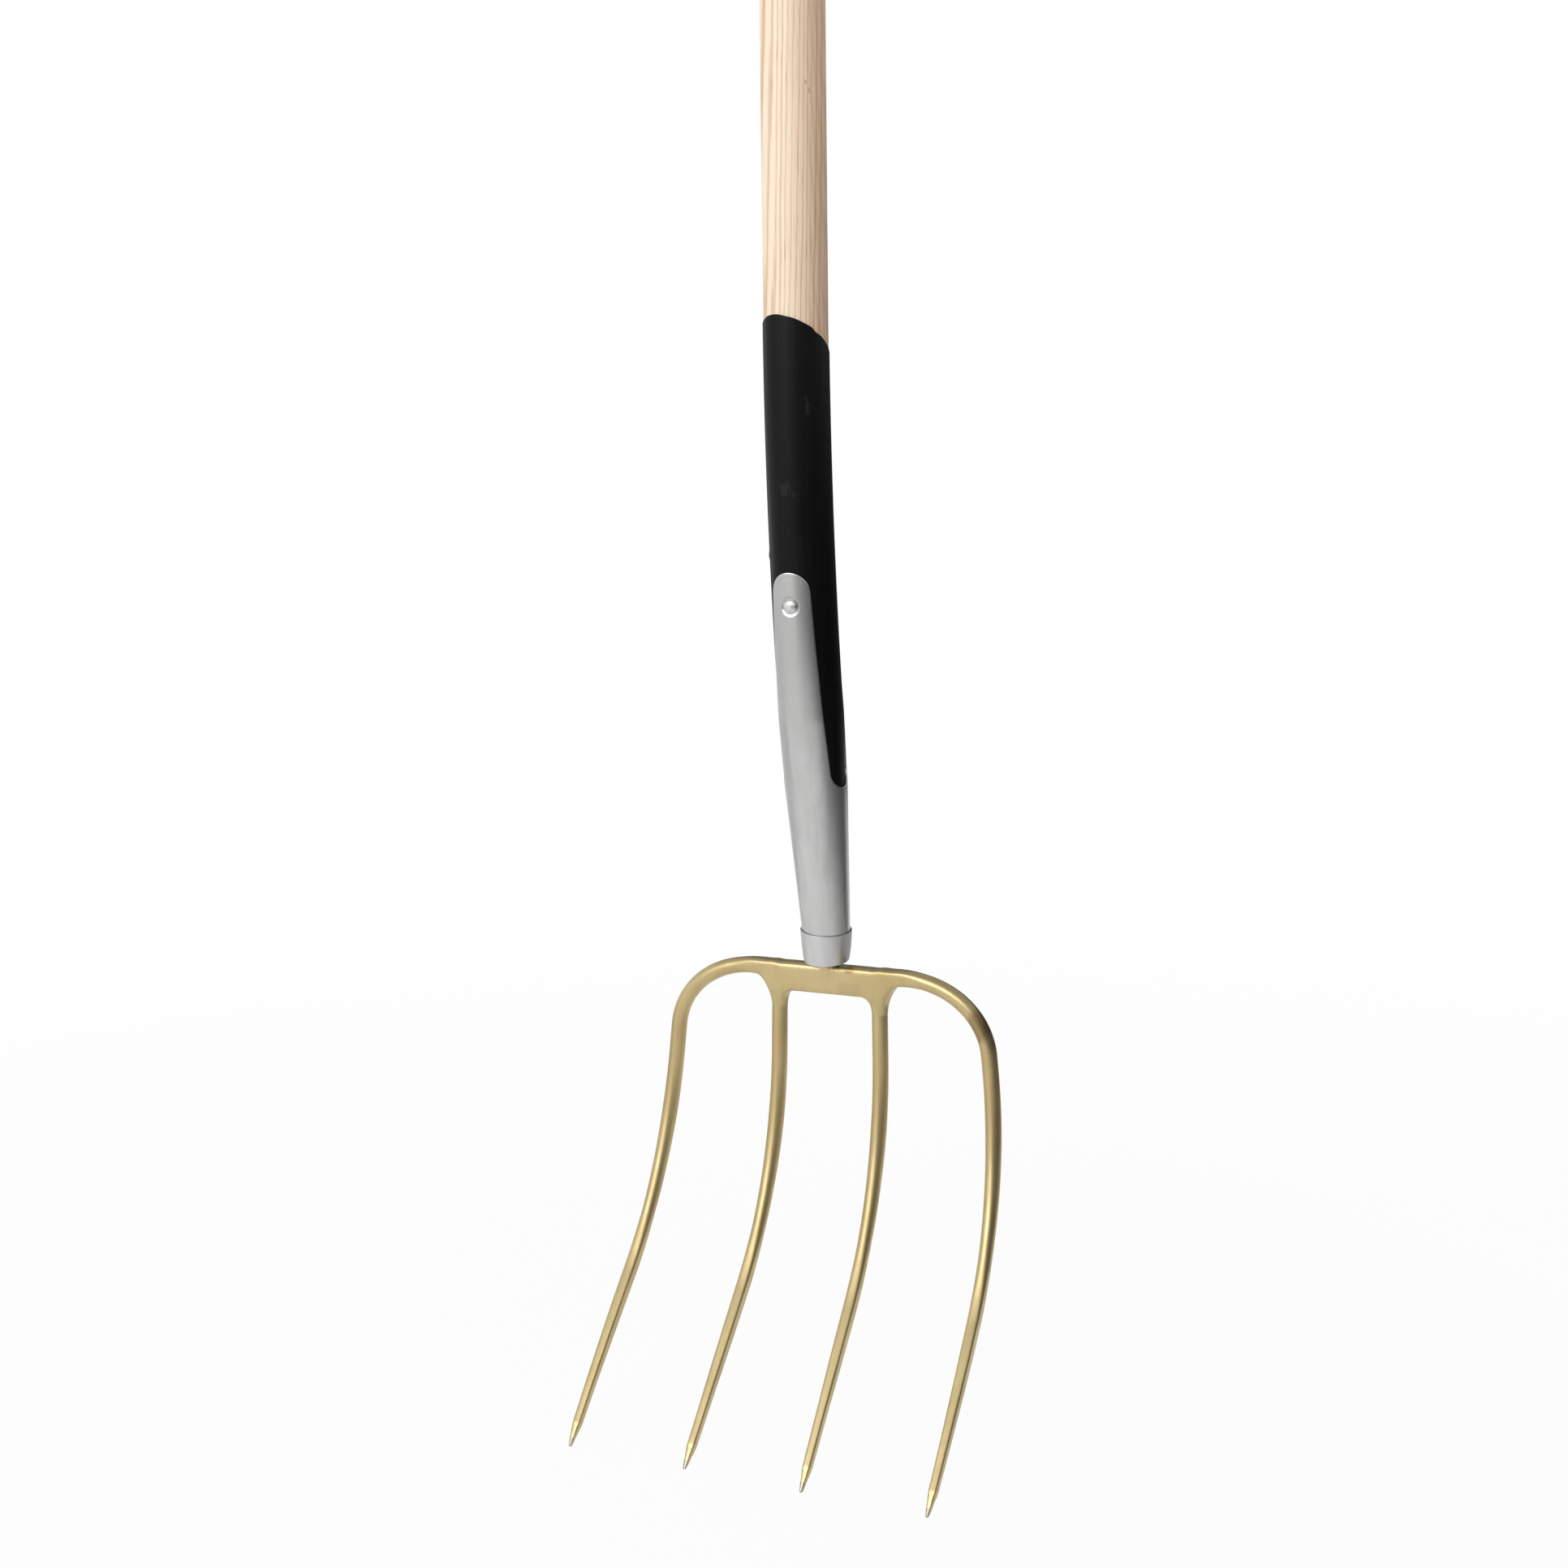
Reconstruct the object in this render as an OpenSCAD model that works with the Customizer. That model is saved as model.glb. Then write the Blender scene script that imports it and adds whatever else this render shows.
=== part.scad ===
// Four-tine manure fork: a bent ash handle in a black sleeve, a strapped sheet-steel socket,
// a ferrule, a through rivet and a forged head. Millimetres, +Z up along the straight handle,
// -Y to the front, origin where the bend of the handle starts.

/* [Handle] */
// Diameter of the handle
handle_d = 38; // [34:0.5:42]
// Length of the straight run above the bend
straight_length = 950; // [300:10:1400]
// Radius of the rounding on the butt end
butt_round = 8; // [2:0.5:14]
// Length of the bend, measured along the handle
bend_length = 240; // [190:5:270]
// Angle the bend turns through, lower end backwards
bend_angle = 7.7; // [2:0.1:12]
// Length of the taper below the bend
taper_length = 149; // [120:1:200]
// Diameter of the handle at the end of its taper
handle_end_d = 24.5; // [22:0.5:28]

/* [Sleeve] */
// Wall of the sleeve
sleeve_wall = 0.4; // [0.2:0.1:1.5]
// Distance from the start of the bend to the middle of the slanted top edge
sleeve_top = 17; // [17:1:60]
// Slope of the top edge, high in front
sleeve_slope = 35; // [0:1:40]
// Turn of the top edge's high side, from the front to the left
sleeve_turn = 13; // [-45:1:45]
// Length of sleeve tucked into the socket below the notches
sleeve_tuck = 16; // [5:1:30]

/* [Socket] */
// Wall of the socket sheet
socket_wall = 1.5; // [1:0.1:2.5]
// Length of the socket from the strap tips to its lower edge
socket_length = 238; // [220:1:260]
// Width of a strap below its rounded tip
strap_width = 26; // [20:0.5:32]
// Distance from the strap tip to the bottom of the side notches
notch_length = 134; // [110:1:150]
// Radius of the round bottom of the side notches
notch_r = 11.5; // [6:0.5:13]

/* [Ferrule] */
// Height of the ferrule
ferrule_height = 20.5; // [18:0.5:34]
// Depth of the seat that takes the socket
ferrule_seat = 11.5; // [8:0.5:14]
// Wall of the ferrule at its rim
ferrule_wall = 1.2; // [0.8:0.1:3]
// Draw-in of the ferrule's radius from rim to base
ferrule_draw = 1.5; // [0:0.1:3]
// Rounding of the ferrule's lower edge
ferrule_round = 3; // [1:0.5:5]

/* [Rivet] */
// Distance from the strap tip to the rivet
rivet_drop = 20; // [16:0.5:40]
// Diameter of the rivet shank
rivet_d = 6; // [4:0.5:7]
// Diameter of the rivet heads
rivet_head_d = 8.6; // [7.5:0.1:11]
// Height of the rivet heads
rivet_head_h = 2; // [1:0.1:3.5]
// Diameter of the seats sunk into the straps
rivet_seat_d = 11.4; // [11:0.1:14]
// Depth of the seats below the outside of the straps
rivet_seat_depth = 0.75; // [0.3:0.05:0.9]

/* [Crossbar] */
// Height of the crossbar above the root line of the tines
bar_rise = 7; // [5:0.5:10]
// Depth of the crossbar below the root line
bar_drop = 11.2; // [6:0.1:14]
// Front-to-back depth of the crossbar
bar_depth = 13; // [12:0.5:20]
// Radius of the fillets between the crossbar and the inner tines
bar_fillet = 6; // [4:0.5:10]
// Diameter of the collar that carries the ferrule above the crossbar
collar_d = 13; // [12:0.5:18]
// Height of the collar above the crossbar
collar_height = 3; // [1:0.5:6]
// Distance from the middle to the start of the shoulders
shoulder_start = 48; // [46:1:60]
// Rise of the shoulder's centre line above the root line
shoulder_rise = 2.5; // [0:0.5:3]
// Depth of the shoulder's end below the root line
shoulder_drop = 41; // [30:1:50]

/* [Tines] */
// Length of the tines along their curve, from the root line
tine_length = 320; // [260:5:380]
// Diameter of the tines at the top
tine_d = 10; // [8:0.5:12]
// Distance from the root line to the start of the tines' taper
taper_from = 95; // [60:5:150]
// Width of the tines above the point
tine_end_w = 5.4; // [4:0.1:8]
// Front-to-back depth of the tines above the point
tine_end_t = 5.1; // [4:0.1:8]
// Length of the chisel point
point_length = 15; // [8:1:25]
// Width of the tip
tip_w = 2; // [1:0.1:4]
// Spacing of the inner tines at the root line
inner_spacing = 68; // [60:1:74]
// Spacing of the inner tines at the tips
inner_tip_spacing = 77; // [60:1:84]
// Spacing of the outer tines below the shoulders
outer_spacing = 213; // [190:1:230]
// Spacing of the outer tines at the tips
outer_tip_spacing = 236; // [200:1:260]
// Forward lean of the tines at the root line, against the socket
tine_lean = 8.5; // [0:0.5:15]
// Length of the straight run above the curve of the tines
curl_start = 51; // [30:1:80]
// Radius of the curve of the tines
curl_radius = 220; // [150:5:300]
// Angle the curve turns through, tips forwards
curl_angle = 40.5; // [20:0.5:55]

/* [Tang] */
// Diameter of the tang at the crossbar
tang_d = 12; // [9:0.5:14]
// Diameter of the tang at its tip
tang_tip_d = 8; // [5:0.5:9]
// Length of the tang above the crossbar
tang_length = 110; // [60:1:130]

/* [Clearances] */
// Radial clearance between nested pieces
fit_gap = 0.15; // [0.05:0.01:0.2]
// Radial clearance of the tang in its bores
tang_gap = 0.15; // [0.05:0.05:0.4]

/* [Hidden] */

// Facets of round forms, and of the long bend as a full turn
round_facets = 96;
bend_facets = 1440;
$fn = round_facets;

handle_r = handle_d / 2;
bend_radius = bend_length * 180 / (PI * bend_angle);
handle_end = bend_length + taper_length;

// Growth of each layer's radius over the handle
sleeve_in = fit_gap;
sleeve_out = sleeve_in + sleeve_wall;
socket_in = sleeve_out + fit_gap;
socket_out = socket_in + socket_wall;
strap_r = handle_r + socket_out;

// Stations along the handle, counted down from the start of the bend
strap_top = handle_end - socket_length;
notch_end = strap_top + notch_length;
notch_centre = notch_end - notch_r;
sleeve_end = notch_end + sleeve_tuck;
rivet_at = strap_top + rivet_drop;
ferrule_rim = handle_end - ferrule_seat;
ferrule_base = ferrule_rim + ferrule_height;
head_root = ferrule_base + collar_height + bar_rise;

// Length of the tang's straight neck, which fills the ferrule's bore
tang_neck = ferrule_height - ferrule_seat;

// Head: sides of a section, and steps of a tine, its root and neck, a shoulder and an arch
tine_sides = 16;
tine_steps = 18;
root_steps = 10;
neck_steps = 3;
shoulder_steps = 10;
arch_steps = 6;
// Roundness exponents: 2 is an ellipse, more is squarer
bar_square = 5;
tine_end_square = 3.5;
// Overrun of cutters past the faces they cut, and of pieces sunk into each other
over = 1;
// Step in the handle's radius where its taper starts
taper_step = 0.1;

function taper_r(s) = handle_r + (handle_end_d / 2 - handle_r) * (s - bend_length) / taper_length;
function bend_turn(s) = bend_angle * min(s, bend_length) / bend_length;
function axis_point(s) =
    let (turn = bend_turn(s), past = max(s - bend_length, 0))
    [0,
     bend_radius * (1 - cos(turn)) + past * sin(turn),
     -bend_radius * sin(turn) - past * cos(turn)];

// Local frame at a station of the handle: +Z up the handle, -Y to the front
module on_axis(s) {
    translate(axis_point(s)) rotate([bend_turn(s), 0, 0]) children();
}

// A flat profile swept through an angle about the centre of the bend
module sweep_bend(angle) {
    translate([0, bend_radius, 0]) rotate([90, 0, -90])
        rotate_extrude(angle = angle, $fn = bend_facets)
            translate([bend_radius, 0]) let ($fn = round_facets) children();
}

// A layer round the lower handle, between two growths of its radius: up the bend and down the taper
module layer(grow_in, grow_out, from, to) {
    on_axis(bend_length) {
        sweep_bend(bend_angle - bend_turn(from)) difference() {
            circle(handle_r + grow_out);
            circle(handle_r + grow_in);
        }
        rotate_extrude() polygon([
            [handle_r + grow_in, 0],
            [handle_r + grow_out, 0],
            [taper_r(to) + grow_out, bend_length - to],
            [taper_r(to) + grow_in, bend_length - to]]);
    }
}

// The rivet's own frame: +Z out of the front strap
module on_rivet() {
    on_axis(rivet_at) rotate([90, 0, 0]) children();
}

module rivet_hole() {
    on_rivet() cylinder(d = rivet_d + 2 * fit_gap, h = 2 * (strap_r + over), center = true);
}

module tang_form(grow) {
    on_axis(ferrule_base) {
        translate([0, 0, -over]) cylinder(r = tang_d / 2 + grow, h = tang_neck + over);
        translate([0, 0, tang_neck])
            cylinder(r1 = tang_d / 2 + grow, r2 = tang_tip_d / 2 + grow, h = tang_length - tang_neck + grow);
    }
}

module handle() {
    color("burlywood") difference() {
        union() {
            rotate_extrude() polygon(concat(
                [[0, 0], [handle_r, 0]],
                [for (a = [0 : 15 : 90])
                    [handle_r - butt_round * (1 - cos(a)), straight_length + butt_round * sin(a)]],
                [[0, straight_length + butt_round]]));
            mirror([0, 0, 1]) sweep_bend(bend_angle) circle(handle_r);
            on_axis(handle_end) cylinder(r1 = handle_end_d / 2, r2 = handle_r - taper_step, h = taper_length + over);
        }
        rivet_hole();
        tang_form(tang_gap);
    }
}

module handle_sleeve() {
    cut = 4 * handle_r;
    color("#1c1c1e") difference() {
        layer(sleeve_in, sleeve_out, over, sleeve_end);
        on_axis(sleeve_top) rotate([0, 0, -sleeve_turn]) rotate([-sleeve_slope, 0, 0])
            translate([0, 0, cut / 2]) cube(cut, center = true);
        rivet_hole();
    }
}

// Outline of a side notch, seen from the side: a round bottom and sides that open upwards
module notch_outline(length) {
    open = sqrt(strap_r * strap_r - strap_width * strap_width / 4);
    circle(notch_r);
    polygon([[-notch_r, 0], [notch_r, 0], [open, length], [open, 2 * length], [-open, 2 * length], [-open, length]]);
}

module strapped_socket() {
    strap_round = strap_top + strap_width / 2;
    chord = axis_point(strap_round) - axis_point(notch_centre);
    color("silver") difference() {
        layer(socket_in, socket_out, strap_top - over, handle_end);
        translate(axis_point(notch_centre)) rotate([atan2(-chord.y, chord.z), 0, 0])
            rotate([90, 0, 90]) linear_extrude(3 * strap_r, center = true) notch_outline(norm(chord));
        on_axis(strap_round) rotate([90, 0, 0]) linear_extrude(3 * strap_r, center = true) difference() {
            translate([-strap_r - over, 0]) square([2 * (strap_r + over), strap_width]);
            circle(d = strap_width);
        }
        rivet_hole();
        for (side = [0, 180]) on_rivet() rotate([side, 0, 0])
            translate([0, 0, strap_r - rivet_seat_depth]) cylinder(d = rivet_seat_d, h = rivet_seat_depth + over);
    }
}

module ferrule() {
    rim_r = taper_r(ferrule_rim) + socket_out + fit_gap;
    seat_r = taper_r(handle_end) + socket_out + fit_gap;
    base_r = rim_r + ferrule_wall - ferrule_draw - ferrule_round;
    bore_r = tang_d / 2 + tang_gap;
    floor_z = ferrule_height - ferrule_seat - fit_gap;
    color("silver") on_axis(ferrule_base) rotate_extrude() polygon(concat(
        [[bore_r, 0]],
        [for (a = [-90 : 15 : 0]) [base_r + ferrule_round * cos(a), ferrule_round * (1 + sin(a))]],
        [[rim_r + ferrule_wall, ferrule_height], [rim_r, ferrule_height], [seat_r, floor_z], [bore_r, floor_z]]));
}

// One rivet head, its flat side on the seat
module rivet_head() {
    dome_r = (rivet_head_d * rivet_head_d / 4 + rivet_head_h * rivet_head_h) / (2 * rivet_head_h);
    translate([0, 0, strap_r - rivet_seat_depth]) intersection() {
        translate([0, 0, rivet_head_h - dome_r]) sphere(dome_r);
        cylinder(d = 2 * rivet_head_d, h = 2 * rivet_head_h);
    }
}

module rivet() {
    color("gainsboro") on_rivet() {
        cylinder(d = rivet_d, h = 2 * (strap_r - rivet_seat_depth), center = true);
        rivet_head();
        mirror([0, 0, 1]) rivet_head();
    }
}

// Side view of the head: straight, then an arc, then straight, by the distance v down a tine
curl_end = curl_start + curl_radius * curl_angle * PI / 180;
function curl_at(v) = tine_lean + max(0, min(curl_angle, (v - curl_start) * 180 / (PI * curl_radius)));
function down(a) = [-sin(a), -cos(a)];
function side_point(v) = v < curl_start ? v * down(tine_lean) :
    let (a = curl_at(v))
    curl_start * down(tine_lean)
    + curl_radius * [cos(a) - cos(tine_lean), sin(tine_lean) - sin(a)]
    + max(0, v - curl_end) * down(a);

// A point of the flat blank, u across, v down and w to the front, carried onto the side view
function bent(u, v, w) =
    let (p = side_point(v), a = curl_at(v))
    [u, p[0] - w * cos(a), p[1] + w * sin(a)];

// One cross-section: half width and half depth, square across the direction of the path
function powered(x, square) = sign(x) * pow(abs(x), 2 / square);
function ring(p, way, half_w, half_t, square) = [for (i = [0 : tine_sides - 1])
    let (a = 360 * (i + 0.5) / tine_sides,
         across = half_w * powered(cos(a), square) / norm(way),
         w = half_t * powered(sin(a), square))
    bent(p[0] - way[1] * across, p[1] + way[0] * across, w)];

// Rounded bridges from each cross-section to the next
module bridge(rings) {
    for (i = [0 : len(rings) - 2]) hull() polyhedron(
        concat(rings[i], rings[i + 1]),
        concat([[for (j = [0 : tine_sides - 1]) j], [for (j = [tine_sides - 1 : -1 : 0]) tine_sides + j]],
               [for (j = [0 : tine_sides - 1])
                   let (k = (j + 1) % tine_sides) [k, j, tine_sides + j, tine_sides + k]]));
}

// Taper of a tine by its distance v below the root line, round above and flatter towards the point
straight_tine = tine_length - point_length;
function tine_share(v) = max(0, (v - taper_from) / (straight_tine - taper_from));
function tine_ring(p, way) =
    let (t = tine_share(p[1]))
    ring(p, way, (tine_d + t * (tine_end_w - tine_d)) / 2, (tine_d + t * (tine_end_t - tine_d)) / 2,
         2 + t * (tine_end_square - 2));
function tip_ring(p, way) = ring(p, way, tip_w / 2, tip_w / 2, tine_end_square);

// Inner tines run straight in the blank
function inner_u(v) = (inner_spacing + (inner_tip_spacing - inner_spacing) * v / tine_length) / 2;
inner_way = [(inner_tip_spacing - inner_spacing) / 2 / tine_length, 1];
function step_v(first, i) = first + (straight_tine - first) * i / tine_steps;

// Their roots flare into a fillet on the inside and an arch on the outside, and are as deep as the crossbar
tine_in = inner_spacing / 2 - tine_d / 2;
tine_out = inner_spacing / 2 + tine_d / 2;
arch_top = tine_d / 2 - shoulder_rise;
arch_r = shoulder_start - tine_out;
fillet_end = bar_drop + bar_fillet;
root_end = fillet_end + bar_fillet;
function reach(v, top, r) = v <= top ? r : v >= top + r ? 0 : r - sqrt(r * r - pow(top + r - v, 2));
function root_ring(v) =
    let (t = (1 + cos(180 * v / root_end)) / 2,
         in = reach(v, bar_drop, bar_fillet),
         out = reach(v, arch_top, arch_r))
    ring([inner_u(v) + (out - in) / 2, v], inner_way, (tine_d + in + out) / 2,
         (tine_d + t * (bar_depth - tine_d)) / 2, 2 + t * (bar_square - 2));

module inner_tine() {
    bridge(concat(
        [for (i = [0 : root_steps]) root_ring(fillet_end * i / root_steps)],
        [for (i = [1 : neck_steps]) root_ring(fillet_end + (root_end - fillet_end) * i / neck_steps)],
        [for (i = [1 : tine_steps]) let (v = step_v(root_end, i)) tine_ring([inner_u(v), v], inner_way)],
        [tip_ring([inner_u(tine_length), tine_length], inner_way)]));
}

// Outer tines leave the crossbar level, turn down over a shoulder and flare towards the tips
outer_flare = (outer_tip_spacing - outer_spacing) / 2;
flare_power = 2.5;
function outer_u(v) =
    outer_tip_spacing / 2 - outer_flare * pow((tine_length - v) / (tine_length - shoulder_drop), flare_power);
function outer_way(v) =
    [outer_flare * flare_power / (tine_length - shoulder_drop)
     * pow((tine_length - v) / (tine_length - shoulder_drop), flare_power - 1), 1];
// The shoulder is a cubic curve: two ends and two handles set by its reach and its drop
shoulder_handle = 0.56;
shoulder_ends = [[shoulder_start, -shoulder_rise], [outer_u(shoulder_drop), shoulder_drop]];
shoulder_knots = [
    shoulder_ends[0],
    shoulder_ends[0] + [shoulder_handle * (shoulder_ends[1][0] - shoulder_start), 0],
    shoulder_ends[1] - shoulder_handle * (shoulder_drop + shoulder_rise) * outer_way(shoulder_drop),
    shoulder_ends[1]];
function cubic(k, t) =
    k[0] * pow(1 - t, 3) + 3 * k[1] * t * pow(1 - t, 2) + 3 * k[2] * t * t * (1 - t) + k[3] * pow(t, 3);
function cubic_way(k, t) =
    3 * ((k[1] - k[0]) * pow(1 - t, 2) + 2 * (k[2] - k[1]) * t * (1 - t) + (k[3] - k[2]) * t * t);

module outer_tine() {
    bridge(concat(
        [tine_ring([inner_spacing / 4, -shoulder_rise], [1, 0])],
        [for (i = [0 : shoulder_steps])
            tine_ring(cubic(shoulder_knots, i / shoulder_steps), cubic_way(shoulder_knots, i / shoulder_steps))],
        [for (i = [1 : tine_steps])
            let (v = step_v(shoulder_drop, i)) tine_ring([outer_u(v), v], outer_way(v))],
        [tip_ring([outer_u(tine_length), tine_length], outer_way(tine_length))]));
}

// Half the crossbar: level on top, its section passing from square to the round of the shoulder
shoulder_top = tine_d / 2 + shoulder_rise;
function bar_section(u, low) =
    let (t = max(0, min(1, (u - tine_in) / (shoulder_start - tine_in))),
         top = bar_rise + t * (shoulder_top - bar_rise))
    ring([u, (low - top) / 2], [1, 0], (low + top) / 2, (bar_depth + t * (tine_d - bar_depth)) / 2,
         bar_square + t * (2 - bar_square));

module half_crossbar() {
    bridge(concat(
        [bar_section(0, bar_drop), bar_section(tine_in, bar_drop)],
        [for (i = [0 : arch_steps])
            let (a = 90 * i / arch_steps)
            bar_section(tine_out + arch_r * (1 - cos(a)), min(bar_drop, arch_top + arch_r * (1 - sin(a))))]));
}

// The collar under the ferrule, sunk into the crossbar
module collar() {
    on_axis(ferrule_base) translate([0, 0, -collar_height - over]) cylinder(d = collar_d, h = collar_height + over);
}

module fork_head() {
    color("#c3a86a") {
        on_axis(head_root) for (side = [0, 1]) mirror([side, 0, 0]) {
            half_crossbar();
            inner_tine();
            outer_tine();
        }
        collar();
        tang_form(0);
    }
}

handle();
handle_sleeve();
strapped_socket();
ferrule();
rivet();
fork_head();
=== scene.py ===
import bpy
import bmesh
import math
import numpy as np
from mathutils import Matrix, Vector


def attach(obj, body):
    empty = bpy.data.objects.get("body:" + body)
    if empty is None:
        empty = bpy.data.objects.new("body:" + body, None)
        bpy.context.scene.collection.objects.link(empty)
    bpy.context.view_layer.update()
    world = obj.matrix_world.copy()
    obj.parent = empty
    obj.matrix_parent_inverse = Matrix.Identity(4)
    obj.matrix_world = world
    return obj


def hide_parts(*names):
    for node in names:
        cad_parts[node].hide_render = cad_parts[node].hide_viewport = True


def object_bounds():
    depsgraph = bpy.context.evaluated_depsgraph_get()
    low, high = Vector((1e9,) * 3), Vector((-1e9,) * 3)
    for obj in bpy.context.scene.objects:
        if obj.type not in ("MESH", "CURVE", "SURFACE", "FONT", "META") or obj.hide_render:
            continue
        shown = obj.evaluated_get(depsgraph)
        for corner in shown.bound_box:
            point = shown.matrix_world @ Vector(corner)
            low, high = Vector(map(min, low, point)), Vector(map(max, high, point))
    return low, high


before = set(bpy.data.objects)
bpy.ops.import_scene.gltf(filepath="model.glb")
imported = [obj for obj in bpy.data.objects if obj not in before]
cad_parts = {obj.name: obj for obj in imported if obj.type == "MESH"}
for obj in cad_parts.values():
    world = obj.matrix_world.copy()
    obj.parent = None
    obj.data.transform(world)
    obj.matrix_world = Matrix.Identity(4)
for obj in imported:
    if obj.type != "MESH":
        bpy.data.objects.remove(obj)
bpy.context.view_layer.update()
print("frame loaded with", len(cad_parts), "nodes")

# Sizes below are in millimetres and degrees, and meshes are put down in metres
mm = 0.001
mergeGap = 0.002  # points nearer than this are one
facing = math.radians(25.8)  # the side that faces the photograph, from the front towards the right
root = "root"


# Shader maths on sockets
class Wire:
    def __init__(self, tree, socket):
        self.tree = tree
        self.socket = socket

    # Any node: its settings are set first, then the values or links of its sockets
    def node(self, kind, settings=None, inputs=None, out=0):
        made = self.tree.nodes.new(kind)
        for key, value in (settings or {}).items():
            setattr(made, key, value)
        for key, value in (inputs or {}).items():
            if isinstance(value, Wire):
                self.tree.links.new(value.socket, made.inputs[key])
            else:
                made.inputs[key].default_value = value
        return Wire(self.tree, made.outputs[out])

    def maths(self, operation, *values):
        return self.node("ShaderNodeMath", {"operation": operation}, dict(enumerate(values)))

    def __add__(self, other):
        return self.maths("ADD", self, other)

    def __radd__(self, other):
        return self.maths("ADD", other, self)

    def __sub__(self, other):
        return self.maths("SUBTRACT", self, other)

    def __rsub__(self, other):
        return self.maths("SUBTRACT", other, self)

    def __mul__(self, other):
        return self.maths("MULTIPLY", self, other)

    def __rmul__(self, other):
        return self.maths("MULTIPLY", other, self)

    def __truediv__(self, other):
        return self.maths("DIVIDE", self, other)

    def clip(self):
        return self.node("ShaderNodeClamp", None, {0: self})

    # What is left above the whole number, which repeats a value every unit
    def rest(self):
        return self.maths("FRACT", self)

    # A value carried from one range to another, smoothly, and held at its ends
    def ease(self, low, high, toLow=0.0, toHigh=1.0):
        return self.node("ShaderNodeMapRange", {"interpolation_type": "SMOOTHSTEP"},
                         {0: self, 1: low, 2: high, 3: toLow, 4: toHigh})

    # Colours mixed by this value
    def tint(self, first, second):
        pair = [c if isinstance(c, Wire) else (*c, 1.0) for c in (first, second)]
        return self.node("ShaderNodeMix", {"data_type": "RGBA"}, {0: self, 6: pair[0], 7: pair[1]}, 2)

    # Coordinates scaled each way, which draws a pattern out along the smallest scale
    def stretched(self, scale, shift=(0, 0, 0)):
        return self.node("ShaderNodeMapping", None, {"Vector": self, "Scale": scale, "Location": shift})

    def noise(self, scale, detail=2.0, rough=0.5):
        return self.node("ShaderNodeTexNoise", None,
                         {"Vector": self, "Scale": scale, "Detail": detail, "Roughness": rough}, "Fac")

    def axes(self):
        split = self.node("ShaderNodeSeparateXYZ", None, {0: self}).socket.node
        return [Wire(self.tree, socket) for socket in split.outputs]

    # A relief of this value, its height in millimetres
    def bump(self, height, strength):
        return self.node("ShaderNodeBump", None,
                         {"Height": self, "Distance": height * mm, "Strength": strength})


# A new material: its object coordinates, and a way to feed its shader
def newFinish(name):
    material = bpy.data.materials.new(name)
    material.use_nodes = True
    tree = material.node_tree
    shader = tree.nodes["Principled BSDF"]
    coords = tree.nodes.new("ShaderNodeTexCoord")
    longNames = {"color": "Base Color", "specular": "Specular IOR Level"}

    def feed(**values):
        for key, value in values.items():
            socket = shader.inputs[longNames.get(key, key.capitalize())]
            if isinstance(value, Wire):
                tree.links.new(value.socket, socket)
            else:
                socket.default_value = value

    return material, Wire(tree, coords.outputs["Object"]), feed


# A named value that a piece's mesh carries on its vertices
def meshValue(wire, name, out):
    return wire.node("ShaderNodeAttribute", {"attribute_name": name}, None, out)


# Squared distance from the middle of a spot, as a share of the spot's size each way
def spotReach(spot, first, second):
    one = (first - spot["at"][0] * mm) / (spot["size"][0] * mm)
    two = (second - spot["at"][1] * mm) / (spot["size"][1] * mm)
    return one * one + two * two


# Quads between neighbours on a grid of rows and columns, which may close on itself either way
def gridFaces(rows, cols, loopCols=False, loopRows=False):
    r, c = np.meshgrid(np.arange(rows if loopRows else rows - 1),
                       np.arange(cols if loopCols else cols - 1), indexing="ij")
    down = (r + 1) % rows
    right = (c + 1) % cols
    quads = np.stack([r * cols + c, r * cols + right, down * cols + right, down * cols + c], -1)
    return quads.reshape(-1, 4)


# A finished piece: merged doubles, faces outwards, smooth, on its body and in place of its node.
# Values are numbers or vectors that its vertices carry
def makePiece(name, points, faces, node, material, values=None):
    mesh = bpy.data.meshes.new(name)
    mesh.from_pydata((points.reshape(-1, 3) * mm).tolist(), [], faces.tolist())
    for key, data in (values or {}).items():
        kind = "FLOAT_VECTOR" if data.ndim == 2 else "FLOAT"
        layer = mesh.attributes.new(key, kind, "POINT")
        layer.data.foreach_set("vector" if data.ndim == 2 else "value", data.astype(np.float32).ravel())
    work = bmesh.new()
    work.from_mesh(mesh)
    bmesh.ops.remove_doubles(work, verts=work.verts, dist=mergeGap * mm)
    bmesh.ops.dissolve_degenerate(work, edges=work.edges, dist=mergeGap / 2 * mm)
    bmesh.ops.recalc_face_normals(work, faces=work.faces)
    work.to_mesh(mesh)
    work.free()
    mesh.polygons.foreach_set("use_smooth", np.ones(len(mesh.polygons), bool))
    mesh.materials.append(material)
    piece = bpy.data.objects.new(name, mesh)
    bpy.context.scene.collection.objects.link(piece)
    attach(piece, root)
    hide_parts(node)
    print(name, "has", len(mesh.vertices), "points and", len(mesh.polygons), "faces")


# A smooth step from 0 at the low value to 1 at the high one
def smooth(x, low, high):
    t = np.clip((x - low) / (high - low), 0, 1)
    return t * t * (3 - 2 * t)


# The ash pole. Stations run down its axis from the start of the bend, and up the straight run below zero
pole = dict(radius=19.0, straight=950.0, buttRound=8.0, bend=240.0, turn=7.7, taper=149.0, endRadius=12.25)
poleEnd = pole["bend"] + pole["taper"]


# The axis: straight above station 0, then an arc that turns backwards, then straight again
def axisAt(s):
    turn = np.radians(pole["turn"]) * np.clip(s, 0, pole["bend"]) / pole["bend"]
    arc = pole["bend"] / math.radians(pole["turn"])
    past = np.maximum(s - pole["bend"], 0)
    y = arc * (1 - np.cos(turn)) + past * np.sin(turn)
    z = -arc * np.sin(turn) - past * np.cos(turn) - np.minimum(s, 0)
    return y, z, turn


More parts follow.
